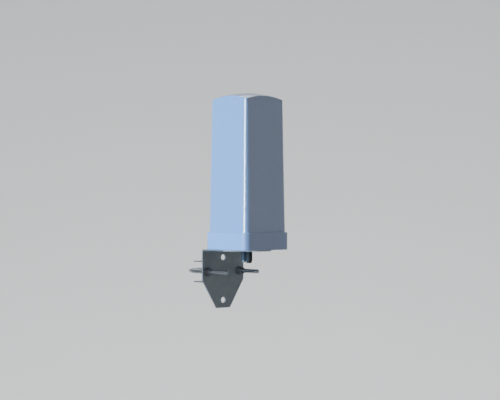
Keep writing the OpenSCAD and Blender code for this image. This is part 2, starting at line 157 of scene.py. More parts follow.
def moulded(name, clean, dirty, rough, coat=0.0):
    """Moulded plastic: a fine grain, faint rain streaks, specks of dust and perhaps a gloss coat."""
    look = Look(name, Specular_IOR_Level=0.5 - 0.2 * coat, Coat_Weight=coat, Coat_Roughness=0.05,
                Coat_IOR=1.8)
    patches = look.noise(14.0, 4.0)
    streaks = look.noise(1.0, 5.0, (170.0, 170.0, 5.0), 0.6)
    dirt = look.maths("MULTIPLY", look.span(streaks, 0.5, 0.85),
                      look.span(patches, 0.35, 0.7, 0.05, 0.2))
    colour = look.blend(dirt, clean, dirty)
    specks = look.span(look.noise(520.0, 2.0), 0.7, 0.78, 0.0, 0.5)
    colour = look.blend(specks, colour, dirty)
    gloss = look.span(look.noise(400.0, 4.0), 0.3, 0.7, rough - 0.03, rough + 0.03)
    waves = look.bump(look.noise(26.0, 1.0), 0.0001, 0.1)
    grain = look.bump(look.noise(2400.0, 2.0), 0.00002, 0.25, waves)
    return look.use(Base_Color=colour, Roughness=gloss, Normal=grain)


def plated(name, bright, dull, rough, spread=0.12, stretch=(1, 1, 1), grain=700.0,
           worn=0.0006, metallic=1.0, bare=None):
    """Bare or plated metal: cloudy colour, uneven gloss, fine scratches and edges rubbed bare.
    The edges are worn over a radius of worn metres, to the colour bare or a brighter bright."""
    look = Look(name, Metallic=metallic)
    clouds = look.span(look.noise(85.0, 6.0, rough=0.65), 0.2, 0.8)
    colour = look.blend(clouds, bright, dull)
    rubbed = look.maths("MULTIPLY", look.edges(worn), look.span(look.noise(240.0), 0.35, 0.6, 0.3))
    shiny = bare or [min(1.0, c * 1.25) for c in bright]
    colour = look.blend(rubbed, colour, shiny)
    scratches = look.noise(grain, 4.0, stretch, 0.7)
    gloss = look.span(look.maths("ADD", clouds, scratches), 0.5, 1.5, rough, rough + spread)
    normal = look.bump(scratches, 0.00003, 0.5)
    return look.use(Base_Color=colour, Roughness=gloss, Normal=normal)


def rubber(name, colour, dusty, rough):
    """Soft moulded rubber with a matt bloom."""
    look = Look(name, Specular_IOR_Level=0.35)
    bloom = look.span(look.noise(130.0, 5.0, rough=0.6), 0.45, 0.75, 0.0, 0.55)
    gloss = look.span(look.noise(300.0, 3.0), 0.3, 0.7, rough - 0.08, rough + 0.1)
    normal = look.bump(look.noise(1500.0, 3.0), 0.00005, 0.5)
    return look.use(Base_Color=look.blend(bloom, colour, dusty), Roughness=gloss, Normal=normal)


def board(name, colour, dark):
    """Glass-cloth laminate under solder resist: a fine square weave."""
    look = Look(name, Specular_IOR_Level=0.5)
    threads = {"Vector": look.coords, "Scale": 330.0, "Distortion": 1.0}
    across, along = [look.add("ShaderNodeTexWave", threads, bands_direction=way).outputs[1]
                     for way in ("X", "Z")]
    weave = look.maths("MULTIPLY", across, along)
    tone = look.blend(look.span(look.noise(40.0, 4.0), 0.3, 0.7), colour, dark)
    gloss = look.span(weave, 0.0, 1.0, 0.32, 0.45)
    return look.use(Base_Color=tone, Roughness=gloss, Normal=look.bump(weave, 0.00003, 0.4))


def beaded(name, colour, dark):
    """Expanded foam: rounded beads, with painted shade darkening the creases where they meet."""
    look = Look(name, Specular_IOR_Level=0.3)
    bead = look.add("ShaderNodeTexVoronoi", {"Vector": look.coords, "Scale": 330.0}).outputs["Distance"]
    # Painted shade: the colour darkens towards the creases between beads
    tone = look.blend(look.span(bead, 0.25, 0.7), colour, dark)
    gloss = look.span(look.noise(200.0), 0.3, 0.7, 0.7, 0.9)
    return look.use(Base_Color=tone, Roughness=gloss, Normal=look.bump(bead, -0.0005, 0.6))


# Each material slot of the record has its own look
LOOKS = {
    # Radome and housing: pale grey plastic, with painted blue light tinting both of its colours blue
    "radome_plastic": moulded("radome_plastic", (0.35, 0.44, 0.65), (0.32, 0.39, 0.54), 0.25, 1.0),
    "housing_plastic": moulded("housing_plastic", (0.35, 0.44, 0.65), (0.31, 0.37, 0.5), 0.4),
    "vent_plastic": moulded("vent_plastic", (0.035, 0.036, 0.038), (0.09, 0.09, 0.09), 0.5),
    "insulator_ptfe": moulded("insulator_ptfe", (0.85, 0.85, 0.82), (0.7, 0.69, 0.64), 0.4),
    "seal_rubber": rubber("seal_rubber", (0.02, 0.02, 0.022), (0.05, 0.05, 0.05), 0.65),
    "cap_rubber": rubber("cap_rubber", (0.014, 0.014, 0.016), (0.04, 0.042, 0.045), 0.55),
    "bracket_steel": plated("bracket_steel", (0.31, 0.345, 0.365), (0.26, 0.29, 0.31), 0.45, 0.14,
                            (1, 1, 0.2), 500.0, worn=0.0009, metallic=0.85, bare=(0.72, 0.75, 0.78)),
    "clamp_zinc": plated("clamp_zinc", (0.47, 0.52, 0.59), (0.37, 0.41, 0.46), 0.15, 0.07),
    "washer_zinc": plated("washer_zinc", (0.2, 0.21, 0.23), (0.14, 0.15, 0.16), 0.3),
    "nut_zinc": plated("nut_zinc", (0.28, 0.3, 0.33), (0.19, 0.2, 0.22), 0.22),
    "spring_steel": plated("spring_steel", (0.26, 0.27, 0.29), (0.15, 0.16, 0.18), 0.34),
    "saddle_zinc": plated("saddle_zinc", (0.38, 0.42, 0.46), (0.29, 0.32, 0.35), 0.36, 0.16),
    "stainless_screw": plated("stainless_screw", (0.5, 0.51, 0.52), (0.34, 0.35, 0.37), 0.26),
    # Nickel painted dark blue: a painted reflection of blue surroundings on a lighter grey metal
    "jack_nickel": plated("jack_nickel", (0.22, 0.28, 0.37), (0.17, 0.22, 0.29), 0.5),
    "insert_brass": plated("insert_brass", (0.8, 0.6, 0.3), (0.6, 0.42, 0.2), 0.3),
    "contact_gold": plated("contact_gold", (0.95, 0.72, 0.32), (0.8, 0.58, 0.24), 0.18),
    "coax_copper": plated("coax_copper", (0.82, 0.5, 0.36), (0.6, 0.33, 0.22), 0.28),
    "board_copper": plated("board_copper", (0.86, 0.55, 0.4), (0.7, 0.4, 0.28), 0.25),
    "ground_aluminium": plated("ground_aluminium", (0.78, 0.79, 0.8), (0.62, 0.63, 0.65), 0.3,
                               0.15, (0.1, 1, 1)),
    "clip_steel": plated("clip_steel", (0.6, 0.61, 0.62), (0.45, 0.46, 0.48), 0.3),
    "board_laminate": board("board_laminate", (0.05, 0.17, 0.07), (0.035, 0.12, 0.05)),
    "foam": beaded("foam", (0.86, 0.86, 0.82), (0.6, 0.6, 0.56)),
}

NODE_SLOTS = {s["node"]: s["material_slot"] for s in frame["record"]["subparts"]}
for node_name, node_object in frame["nodes"].items():
    node_object.data.materials.clear()
    node_object.data.materials.append(LOOKS[NODE_SLOTS[node_name]])


# ---- Mesh tools ----

# In metres: points nearer than this are one point
SPECK = 1e-6
# A corner's rounding takes at most this part of the stretch on either side of it
LONGEST_CUT = 0.48
# Half the angle of one of a hexagon's sides
HEX_TURN = math.pi / 6
ROWS_PER_TURN = 7
# In degrees: a CAD edge that turns by more than the first is bevelled, and one that turns by less
# than the second is only a facet
HARD_EDGE = 28.0
FLAT_FACET = 0.6


def point(x, y, z):
    return Vector((x, y, z)) * MM


def node_box(node):
    """A CAD node's lowest and highest corner, in millimetres."""
    lo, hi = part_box(node)
    return lo / MM, hi / MM


def skin(bm, rings, loop=False):
    """Joins each ring of points to the next. A ring of one point is a pole."""
    made = [[bm.verts.new(p) for p in ring] for ring in rings]
    pairs = list(zip(made, made[1:]))
    if loop:
        pairs.append((made[-1], made[0]))
    for a, b in pairs:
        if len(a) == 1 or len(b) == 1:
            pole, ring = (a[0], b) if len(a) == 1 else (b[0], a)
            for i, v in enumerate(ring):
                bm.faces.new((pole, v, ring[(i + 1) % len(ring)]))
        else:
            for i in range(len(a)):
                j = (i + 1) % len(a)
                bm.faces.new((a[i], a[j], b[j], b[i]))
    return made


def as_object(name, bm):
    """Makes a bmesh into an object in the scene, with its faces turned outwards."""
    mesh = bpy.data.meshes.new(name)
    bmesh.ops.recalc_face_normals(bm, faces=bm.faces)
    bm.to_mesh(mesh)
    bm.free()
    obj = bpy.data.objects.new(name, mesh)
    scene.collection.objects.link(obj)
    return obj


def place(name, bm, node, sharp=32.0):
    """Makes a bmesh into a shown piece that stands for a CAD node and rides on its body.
    Edges that turn by more than sharp degrees stay crisp."""
    obj = as_object(name, bm)
    obj.data.shade_smooth()
    obj.data.set_sharp_from_angle(angle=math.radians(sharp))
    weighted = obj.modifiers.new("weighted", "WEIGHTED_NORMAL")
    weighted.keep_sharp = True
    slot = NODE_SLOTS[node]
    obj.data.materials.append(LOOKS[slot])
    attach(obj, frame["nodes"][node]["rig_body"])
    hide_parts(node)


def soften(points, radius, closed=True, steps=4):
    """Rounds the corners of a profile. A point's third number, if any, is its own radius."""
    out = []
    for i, p in enumerate(points):
        r = p[2] if len(p) > 2 else radius
        here = Vector(p[:2])
        if r <= 0 or (not closed and i in (0, len(points) - 1)):
            out.append(here)
            continue
        before = Vector(points[i - 1][:2]) - here
        after = Vector(points[(i + 1) % len(points)][:2]) - here
        a = here + before.normalized() * min(r, before.length * LONGEST_CUT)
        b = here + after.normalized() * min(r, after.length * LONGEST_CUT)
        for k in range(steps + 1):
            u = k / steps
            out.append(a * (1 - u) ** 2 + here * 2 * u * (1 - u) + b * u ** 2)
    return out


def turned(bm, profile, origin, axis, segments=64, radius=None, loop=True):
    """Turns a profile of (r, h) pairs about an axis through origin, in millimetres.
    radius(r, h, angle) may change a radius as it goes round; a radius of 0 is a pole."""
    axis = Vector(axis)
    side = Vector((1, 0, 0))
    other = axis.cross(side)
    rings = []
    for r, h in profile:
        base = Vector(origin) + axis * h
        if r * MM < SPECK:
            rings.append([base * MM])
            continue
        ring = []
        for i in range(segments):
            angle = 2 * math.pi * i / segments
            rr = radius(r, h, angle) if radius else r
            ring.append((base + (side * math.cos(angle) + other * math.sin(angle)) * rr) * MM)
        rings.append(ring)
    return skin(bm, rings, loop)


def hexagon(across_flats, angle):
    """Distance to a hexagon's side, with corners along the first direction."""
    turn = angle % (2 * HEX_TURN) - HEX_TURN
    return across_flats / 2 / math.cos(turn)


def thread_cut(h, angle, pitch, depth):
    """How far a thread cuts in at a height and an angle. It has a narrow flat on its crest and
    at its root, because the wave runs a little past both ends of its range."""
    phase = (h / pitch - angle / (2 * math.pi)) % 1.0
    wave = 1.25 * abs(2 * phase - 1) - 0.1
    return depth * min(1.0, max(0.0, wave))


def thread_rows(r, low, high, pitch):
    """The profile's points along a threaded stretch of radius r."""
    count = round((high - low) / pitch * ROWS_PER_TURN)
    return [(r, low + (high - low) * i / count) for i in range(count + 1)]


def refined(name, node, width):
    """A CAD node's own shape with its facets joined and its hard edges bevelled by width."""
    bm = bmesh.new()
    bm.from_mesh(frame["nodes"][node].data)
    bmesh.ops.remove_doubles(bm, verts=bm.verts, dist=2 * SPECK)
    bmesh.ops.dissolve_degenerate(bm, edges=bm.edges, dist=SPECK)
    bmesh.ops.dissolve_limit(bm, angle_limit=math.radians(FLAT_FACET), verts=bm.verts, edges=bm.edges)
    hard = [edge for edge in bm.edges
            if len(edge.link_faces) == 2 and edge.calc_face_angle() > math.radians(HARD_EDGE)]
    bmesh.ops.bevel(bm, geom=hard, offset=width * MM, offset_type="OFFSET", segments=2,
                    profile=0.5, affect="EDGES", clamp_overlap=True)
    place(name, bm, node, HARD_EDGE)


# ---- Radome and base housing ----

# All in millimetres, as in the CAD
CORNER_AT = 40.5
RADOME_SLOPE = 4.7 / 242.4
DOME_R = 165.0
WALL = 2.5
OUTER_RIM = 0.9
INNER_RIM = 0.6
BOSS_AT = 44.3
BOSS_R = 6.4
BOSS_H = 10.0
BOSS_ROOF = 1.0
BOSS_CHAMFER = 0.4
SCREW_R = 2.05
CORNERS = ((1, 1), (-1, 1), (-1, -1), (1, -1))
ARC_STEPS = 14
SIDE_STEPS = 12
SETTLING_ROUNDS = 6
# Where the rings lie: up the radome's side, round its rim and from the rim to the dome's middle
SIDE_ROWS = (0, 0.12, 0.25, 0.4, 0.55, 0.7, 0.85, 0.95, 0.985)
RIM_ROWS = (0, 0.2, 0.4, 0.6, 0.8, 1)
DOME_ROWS = (0.985, 0.93, 0.86, 0.78, 0.7, 0.6, 0.5, 0.4, 0.3, 0.2, 0.1, 0.04)


def outline(centre_at, side_steps):
    """A rounded square's columns: the point each one's radius starts from, and its direction."""
    centres = [Vector(corner) * centre_at for corner in CORNERS]
    columns = []
    for k in range(4):
        for i in range(ARC_STEPS + 1):
            angle = math.pi / 2 * (k + i / ARC_STEPS)
            way = Vector((math.cos(angle), math.sin(angle)))
            columns.append((centres[k], way))
        for i in range(1, side_steps):
            columns.append((centres[k].lerp(centres[(k + 1) % 4], i / side_steps), way))
    return columns


def radome_rings(inset, rim):
    """Rings from the radome's foot up its sides, over its rim and across its dome."""
    lo, hi = node_box("radome")
    mid_y = (lo.y + hi.y) / 2
    foot_r = (hi.x - lo.x) / 2 - CORNER_AT - inset
    dome_z = hi.z - DOME_R
    dome_r = DOME_R - inset

    def side(column, z):
        start, way = column
        return start + way * (foot_r - RADOME_SLOPE * (z - lo.z))

    def on_dome(plan):
        return Vector((plan.x, plan.y, dome_z + math.sqrt(dome_r ** 2 - plan.length_squared)))

    def shifted(p):
        return point(p[0], p[1] + mid_y, p[2])

    columns = []
    for column in outline(CORNER_AT, SIDE_STEPS):
        z = hi.z
        for _ in range(SETTLING_ROUNDS):  # z settles where the side meets the dome
            z = on_dome(side(column, z)).z
        top = Vector((*side(column, z), z))
        low = Vector((*side(column, z - rim), z - rim))
        plan = top.xy
        reach = 1 - rim / plan.length
        far = on_dome(plan * reach)
        heights = [lo.z + (low.z - lo.z) * u for u in SIDE_ROWS]
        rows = [Vector((*side(column, height), height)) for height in heights]
        rows += [low * (1 - u) ** 2 + top * 2 * u * (1 - u) + far * u ** 2 for u in RIM_ROWS]
        rows += [on_dome(plan * (reach * u)) for u in DOME_ROWS]
        columns.append([shifted(p) for p in rows])
    rings = [list(ring) for ring in zip(*columns)]
    rings.append([shifted((0, 0, dome_z + dome_r))])
    return rings


def carved(base, joined, cut):
    """A solid with one set of solids joined to it and then another taken out of it."""
    shape, more, less = [as_object("working", bm) for bm in (base, joined, cut)]
    for tool, operation in ((more, "UNION"), (less, "DIFFERENCE")):
        boolean = shape.modifiers.new(operation, "BOOLEAN")
        boolean.operation = operation
        boolean.solver = "EXACT"
        boolean.object = tool
    graph = bpy.context.evaluated_depsgraph_get()
    result = bpy.data.meshes.new_from_object(shape.evaluated_get(graph))
    bm = bmesh.new()
    bm.from_mesh(result)
    for obj in (shape, more, less):
        bpy.data.objects.remove(obj)
    bmesh.ops.remove_doubles(bm, verts=bm.verts, dist=SPECK)
    bmesh.ops.dissolve_degenerate(bm, edges=bm.edges, dist=SPECK)
    return bm


# How far a cutting peg runs on past what it cuts
OVERRUN = 1.0
PEG_SIDES = 40


def upright(bm, x, y, profile):
    """A closed round solid along Z. The profile leaves out its two points on the axis."""
    low, high = profile[0][1], profile[-1][1]
    turned(bm, [(0, low), *profile, (0, high)], (x, y, 0), (0, 0, 1), PEG_SIDES, loop=False)


def peg(bm, x, y, r, low, high, chamfer=0.0):
    """A round peg along Z, with its upper edge chamfered."""
    top = [(r, high - chamfer), (r - chamfer, high)] if chamfer else [(r, high)]
    upright(bm, x, y, [(r, low), *top])


def radome_shell():
    """A closed shell: the outer skin, the inner skin and the foot's flat rim between them."""
    lo, hi = node_box("radome")
    mid_y = (lo.y + hi.y) / 2
    shell = bmesh.new()
    outside = skin(shell, radome_rings(0.0, OUTER_RIM))
    inside = skin(shell, radome_rings(WALL, INNER_RIM))
    for i in range(len(outside[0])):
        j = (i + 1) % len(outside[0])
        shell.faces.new((outside[0][i], inside[0][i], inside[0][j], outside[0][j]))
    bosses, bores = bmesh.new(), bmesh.new()
    for sx, sy in CORNERS:
        x, y = sx * BOSS_AT, sy * BOSS_AT + mid_y
        peg(bosses, x, y, BOSS_R, lo.z, lo.z + BOSS_H, BOSS_CHAMFER)
        peg(bores, x, y, SCREW_R, lo.z - OVERRUN, lo.z + BOSS_H - BOSS_ROOF)
    place("radome_shell", carved(shell, bosses, bores), "radome")


BASE_CORNER = 14.0
BASE_WALL = 2.9
FLOOR_T = 4.0
# The corner radius of the last ring on a flat face, before the face closes on its middle
LAST_RING_R = 0.6
# How far a boss's foot goes down into the floor
BOSS_SINK = 0.5
INSERTS_AT = ((-30, 38), (30, 38), (-16, -30), (16, -30))
INSERT_R = 3.65
INSERT_WALL = 2.4
INSERT_BOSS_H = 8.0
POSTS_AT = ((-36, 0), (36, 0), (0, -36), (0, 36))
POST_R = 4.0
POST_H = 14.0
PILOT_R = 1.55
PILOT_H = 12.0
POCKET_R = 4.2
POCKET_H = 2.3
POCKET_CHAMFER = 0.4
SCREW_HOLE_R = 2.2
NECK_HOLE_R = 4.8
VENT_AT = (34, -46)
VENT_HEAD_R = 5.05
VENT_HEAD_H = 1.55
VENT_NECK_R = 3.05


def housing_shell():
    """An open-topped box with bosses on its floor, and every hole that goes through the floor."""
    lo, hi = node_box("base_housing")
    mid_y = (lo.y + hi.y) / 2
    half = (hi.x - lo.x) / 2
    last_ring = LAST_RING_R - BASE_CORNER
    floor_z = lo.z + FLOOR_T
    profile = soften([
        (last_ring, lo.z, 0), (0, lo.z, 1.6), (0, hi.z, 1.2), (-BASE_WALL, hi.z, 0.7),
        (-BASE_WALL, floor_z, 1.0), (last_ring, floor_z, 0)], 0, closed=False)
    rings = [[point(0, mid_y, lo.z)]]
    for offset, z in profile:
        corner_r = BASE_CORNER + offset
        rings.append([point(start.x + way.x * corner_r, start.y + way.y * corner_r + mid_y, z)
                      for start, way in outline(half - BASE_CORNER, 1)])
    rings.append([point(0, mid_y, floor_z)])
    body = bmesh.new()
    skin(body, rings)

    bosses, bores = bmesh.new(), bmesh.new()
    below, above = lo.z - 2 * OVERRUN, floor_z + 2 * OVERRUN
    for places, r, height, bore, bore_low in (
            (INSERTS_AT, INSERT_R + INSERT_WALL, INSERT_BOSS_H, INSERT_R, below),
            (POSTS_AT, POST_R, POST_H, PILOT_R, floor_z + POST_H - PILOT_H)):
        top = floor_z + height
        for x, y in places:
            peg(bosses, x, y + mid_y, r, floor_z - BOSS_SINK, top, BOSS_CHAMFER)
            peg(bores, x, y + mid_y, bore, bore_low, top + OVERRUN)
    pocket_top = lo.z + POCKET_H
    for sx, sy in CORNERS:
        upright(bores, sx * BOSS_AT, sy * BOSS_AT + mid_y, [
            (POCKET_R + POCKET_CHAMFER, below), (POCKET_R + POCKET_CHAMFER, lo.z),
            (POCKET_R, lo.z + POCKET_CHAMFER), (POCKET_R, pocket_top), (SCREW_HOLE_R, pocket_top),
            (SCREW_HOLE_R, above)])
    for node in ("front_jack", "rear_jack"):
        jack_lo, jack_hi = node_box(node)
        middle = (jack_lo + jack_hi) / 2
        peg(bores, middle.x, middle.y, NECK_HOLE_R, below, above)
    vent_top = lo.z + VENT_HEAD_H
    upright(bores, VENT_AT[0], VENT_AT[1] + mid_y, [
        (VENT_HEAD_R, below), (VENT_HEAD_R, vent_top), (VENT_NECK_R, vent_top), (VENT_NECK_R, above)])
    place("housing_shell", carved(body, bosses, bores), "base_housing", sharp=40.0)


# ---- Mast clamp ----

THREAD_PITCH = 1.25
THREAD_DEPTH = 0.1
THREAD_LENGTH = 50.0
TIP_CHAMFER = 1.0
# The first threaded row's distance from the chamfer, and how far past its end the thread fades
THREAD_GAP = 0.02
THREAD_FADE = 0.05
# Rows of the plain shank: two by their distance past the thread, one by its distance to the bend
SHANK_ROWS = (0.8, 12.0)
LAST_SHANK_ROW = 1.0
ROD_SIDES = 28
BEND_STEPS = 48
UP = Vector((0, 0, 1))


def u_bolt_rod():
    """One rod: up the right leg, round the bend and down the left leg, threaded at both ends."""
    lo, hi = node_box("u_bolt")
    rod_r = (hi.z - lo.z) / 2
    leg_x = hi.x - rod_r
    bend_y = hi.y - rod_r - leg_x
    tip_y = lo.y
    thread_end = tip_y + THREAD_LENGTH
    chamfer_y = tip_y + TIP_CHAMFER
    threaded = thread_rows(rod_r, chamfer_y + THREAD_GAP, thread_end, THREAD_PITCH)
    rows = [(tip_y, 0.0), (tip_y, rod_r - TIP_CHAMFER), (chamfer_y, rod_r)]
    rows += [(y, r) for r, y in threaded[1:]]
    rows += [(thread_end + past, rod_r) for past in SHANK_ROWS]
    rows.append((bend_y - LAST_SHANK_ROW, rod_r))

    def cut_at(y, angle):
        """The thread's depth at a point of a leg. It fades out over its last two turns."""
        fade = (thread_end + THREAD_FADE - y) / (2 * THREAD_PITCH)
        return thread_cut(y, angle, THREAD_PITCH, THREAD_DEPTH) * min(1.0, max(0.0, fade))

    def ring(centre, out, radius_at):
        """A ring about centre, square to the rod. Its angles start at the top and turn to out."""
        angles = [2 * math.pi * i / ROD_SIDES for i in range(ROD_SIDES)]
        return [(centre + (UP * math.cos(angle) + out * math.sin(angle)) * radius_at(angle)) * MM
                for angle in angles]

    def leg(side, leg_rows):
        """The rings of one leg. side is 1 on the right and -1 on the left."""
        rings = []
        for y, r in leg_rows:
            centre = Vector((side * leg_x, y, 0))
            if r == 0:
                rings.append([centre * MM])
            else:
                rings.append(ring(centre, Vector((side, 0, 0)),
                                  lambda angle: min(r, rod_r - cut_at(y, side * angle))))
        return rings

    rings = leg(1, rows)
    for i in range(BEND_STEPS + 1):
        turn = math.pi * i / BEND_STEPS
        out = Vector((math.cos(turn), math.sin(turn), 0))
        rings.append(ring(Vector((0, bend_y, 0)) + out * leg_x, out, lambda angle: rod_r))
    rings += leg(-1, reversed(rows))
    bm = bmesh.new()
    skin(bm, rings)
    place("u_bolt_rod", bm, "u_bolt", sharp=50.0)


FLAT_WASHER_BORE_R = 4.2
FLAT_WASHER_ROUNDING = 0.3
SPLIT_WASHER_BORE_R = 4.15
SPLIT_WASHER_ROUNDING = 0.25
SPLIT_STEPS = 72
SPLIT_GAP = math.radians(5)
SPLIT_SLANT = math.tan(math.radians(20))
# The slant of the cut is spread over this part of the ring at either end
SPLIT_EASE = 1 / 12


def washer_section(lo, hi, bore_r, rounding):
    """A washer's section as (radius, y) points with rounded corners."""
    outer_r = (hi.x - lo.x) / 2
    corners = [(bore_r, lo.y), (outer_r, lo.y), (outer_r, hi.y), (bore_r, hi.y)]
    return soften(corners, rounding, steps=3)


def flat_washer(name, node):
    """A plain ring with rounded edges."""
    lo, hi = node_box(node)
    middle = (lo + hi) / 2
    section = washer_section(lo, hi, FLAT_WASHER_BORE_R, FLAT_WASHER_ROUNDING)
    bm = bmesh.new()
    turned(bm, section, (middle.x, 0, middle.z), (0, 1, 0))
    place(name, bm, node)


def split_washer(name, node):
    """A square-section ring with a slanting cut through it."""
    lo, hi = node_box(node)
    middle = (lo + hi) / 2
    outer_r = (hi.x - lo.x) / 2
    section = washer_section(lo, hi, SPLIT_WASHER_BORE_R, SPLIT_WASHER_ROUNDING)
    rings = []
    for i in range(SPLIT_STEPS + 1):
        u = i / SPLIT_STEPS
        ease = max(0.0, 1 - u / SPLIT_EASE) + max(0.0, 1 - (1 - u) / SPLIT_EASE)
        ring = []
        for r, y in section:
            lean = SPLIT_SLANT * (y - middle.y) / outer_r
            angle = SPLIT_GAP + (2 * math.pi - 2 * SPLIT_GAP) * u - lean * ease
            ring.append(point(middle.x + math.cos(angle) * r, y, middle.z + math.sin(angle) * r))
        rings.append(ring)
    bm = bmesh.new()
    made = skin(bm, rings)
    bm.faces.new(made[0])
    bm.faces.new(made[-1])
    place(name, bm, node)


NUT_BORE_R = 4.05
NUT_ROOT_R = 4.55
NUT_MOUTH_R = 4.8
NUT_THREAD_INSET = 0.6
# The round face that bears on the washer: its distance in from the flats, and the curve of its rim
NUT_FACE_INSET = 0.55
NUT_RIM_INSET = 0.15
NUT_RIM_RISE = 0.06
# The chamfer that cuts the hexagon's corners off
NUT_CHAMFER_START = 0.12
NUT_CHAMFER_EXTRA = 0.15
NUT_CHAMFER_STEPS = 7


def hex_nut(name, node):
    """A hexagon chamfered at both ends, with a thread in its bore."""
    lo, hi = node_box(node)
    across = hi.x - lo.x
    flat_r = across / 2
    corner_r = flat_r / math.cos(HEX_TURN)
    drop = (corner_r - flat_r) * math.tan(HEX_TURN) + NUT_CHAMFER_EXTRA
    height = hi.y - lo.y
    outside = [(NUT_MOUTH_R, 0), (flat_r - NUT_FACE_INSET, 0), (flat_r - NUT_RIM_INSET, NUT_RIM_RISE)]
    for k in range(1, NUT_CHAMFER_STEPS + 1):
        u = k / NUT_CHAMFER_STEPS
        outside.append((flat_r + (corner_r - flat_r) * u, NUT_CHAMFER_START + drop * u))
    outside += [(corner_r, drop + NUT_THREAD_INSET), (corner_r, height / 2)]
    outside += [(r, height - h) for r, h in reversed(outside[:-1])]
    inside = thread_rows(NUT_ROOT_R, NUT_THREAD_INSET, height - NUT_THREAD_INSET, THREAD_PITCH)

    def radius(r, h, angle):
        if r > NUT_ROOT_R:
            return min(r, hexagon(across, angle + HEX_TURN))
        return NUT_ROOT_R - thread_cut(h, -angle, THREAD_PITCH, NUT_ROOT_R - NUT_BORE_R)

    bm = bmesh.new()
    turned(bm, outside + inside[::-1], ((lo.x + hi.x) / 2, lo.y, (lo.z + hi.z) / 2), (0, 1, 0),
           segments=96, radius=radius)
    place(name, bm, node, sharp=24.0)


# ---- Ports ----

JACK_NOSE_R = 4.2
JACK_NOSE_H = 3.5
JACK_R = 5.55
JACK_RELIEF = 0.5
JACK_HEX = 13.0
JACK_HEX_AT = 20.0
JACK_HEX_H = 2.5
# The hexagon's chamfer, as (radius, height above its lower face), and where it meets the corners
JACK_HEX_CHAMFER = ((6.2, 0), (6.5, 0.05), (6.75, 0.15), (7.0, 0.27), (7.25, 0.4))
JACK_HEX_CORNER_H = 0.55
# The thread's distance from the nose, and its distance and the relief's from the hexagon
JACK_THREAD_START = 0.45
JACK_THREAD_STOP = 1.2
JACK_RELIEF_H = 1.0
JACK_NECK_CHAMFER = 0.3
JACK_NECK_R = 4.75
JACK_TAIL_R = 3.2
JACK_TAIL_H = 4.0
JACK_BORE_R = 2.25
JACK_NOSE_WALL = 0.8
JACK_SOCKET_R = JACK_NOSE_R - JACK_NOSE_WALL
JACK_SOCKET_H = 16.0
JACK_PITCH = 0.9
JACK_DEPTH = 0.45


def jack_body(name, node):
    """A threaded jack: nose, mating thread, hexagon, neck through the floor and a hollow core."""
    lo, hi = node_box(node)
    nose_top = lo.z + JACK_NOSE_H
    hex_low = lo.z + JACK_HEX_AT
    hex_top = hex_low + JACK_HEX_H
    neck_top = hi.z - JACK_TAIL_H
    socket_top = lo.z + JACK_SOCKET_H
    relief_r = JACK_R - JACK_RELIEF
    hex_corner_r = JACK_HEX / 2 / math.cos(HEX_TURN)
    nose = soften([
        (JACK_SOCKET_R, lo.z, 0.15), (JACK_NOSE_R, lo.z, 0.35), (JACK_NOSE_R, nose_top, 0.1),
        (relief_r, nose_top, 0)], 0, closed=False, steps=3)
    thread = thread_rows(JACK_R, nose_top + JACK_THREAD_START, hex_low - JACK_THREAD_STOP, JACK_PITCH)
    hexagon_rows = [(relief_r, hex_low - JACK_RELIEF_H), (relief_r, hex_low)]
    hexagon_rows += [(r, hex_low + rise) for r, rise in JACK_HEX_CHAMFER]
    hexagon_rows += [(hex_corner_r, hex_low + JACK_HEX_CORNER_H), (hex_corner_r, hex_top)]
    tail = [(JACK_NECK_R, hex_top), (JACK_NECK_R, neck_top - JACK_NECK_CHAMFER),
            (JACK_NECK_R - JACK_NECK_CHAMFER, neck_top), (JACK_TAIL_R, neck_top), (JACK_TAIL_R, hi.z)]
    core = [(JACK_BORE_R, hi.z), (JACK_BORE_R, socket_top), (JACK_SOCKET_R, socket_top)]

    def radius(r, h, angle):
        if hex_low <= h <= hex_top and r > JACK_R:
            return min(r, hexagon(JACK_HEX, angle + HEX_TURN))
        if r == JACK_R:
            return r - thread_cut(h, angle, JACK_PITCH, JACK_DEPTH)
        return r

    bm = bmesh.new()
    turned(bm, nose + thread + hexagon_rows + tail + core,
           ((lo.x + hi.x) / 2, (lo.y + hi.y) / 2, 0), (0, 0, 1), segments=72, radius=radius)
    place(name, bm, node, sharp=40.0)


CAP_PULL_INSET = 1.2
CAP_PULL_H = 3.5
CAP_GROOVE = 0.25
# Where the groove's two sides start and end, as distances below the skirt's rim
CAP_GROOVE_AT = (3.2, 2.9, 2.4, 2.1)
CAP_FLOOR = 1.2
CAP_STEP_H = 4.7
CAP_FIT = 0.05


def cap_body():
    """A soft push-on cap: a grooved skirt, a rounded shoulder and a narrower pull."""
    lo, hi = node_box("dust_cap")
    outer = (hi.x - lo.x) / 2
    pull = outer - CAP_PULL_INSET
    groove = outer - CAP_GROOVE
    shoulder = lo.z + CAP_PULL_H
    groove_z = [hi.z - below for below in CAP_GROOVE_AT]
    skirt_r, nose_r = JACK_R + CAP_FIT, JACK_NOSE_R + CAP_FIT
    step_z, floor_z = lo.z + CAP_STEP_H, lo.z + CAP_FLOOR
    profile = soften([
        (0, lo.z, 0), (pull, lo.z, 0.4), (pull, shoulder, 0.3), (outer, shoulder, 0.5),
        (outer, groove_z[0], 0.3), (groove, groove_z[1], 0.2), (groove, groove_z[2], 0.2),
        (outer, groove_z[3], 0.3), (outer, hi.z, 0.5), (skirt_r, hi.z, 0.3), (skirt_r, step_z, 0.2),
        (nose_r, step_z, 0.1), (nose_r, floor_z, 0.1), (0, floor_z, 0)], 0, closed=False)
    bm = bmesh.new()
    turned(bm, profile, ((lo.x + hi.x) / 2, (lo.y + hi.y) / 2, 0), (0, 0, 1), loop=False)
    place("cap_body", bm, "dust_cap", sharp=50.0)


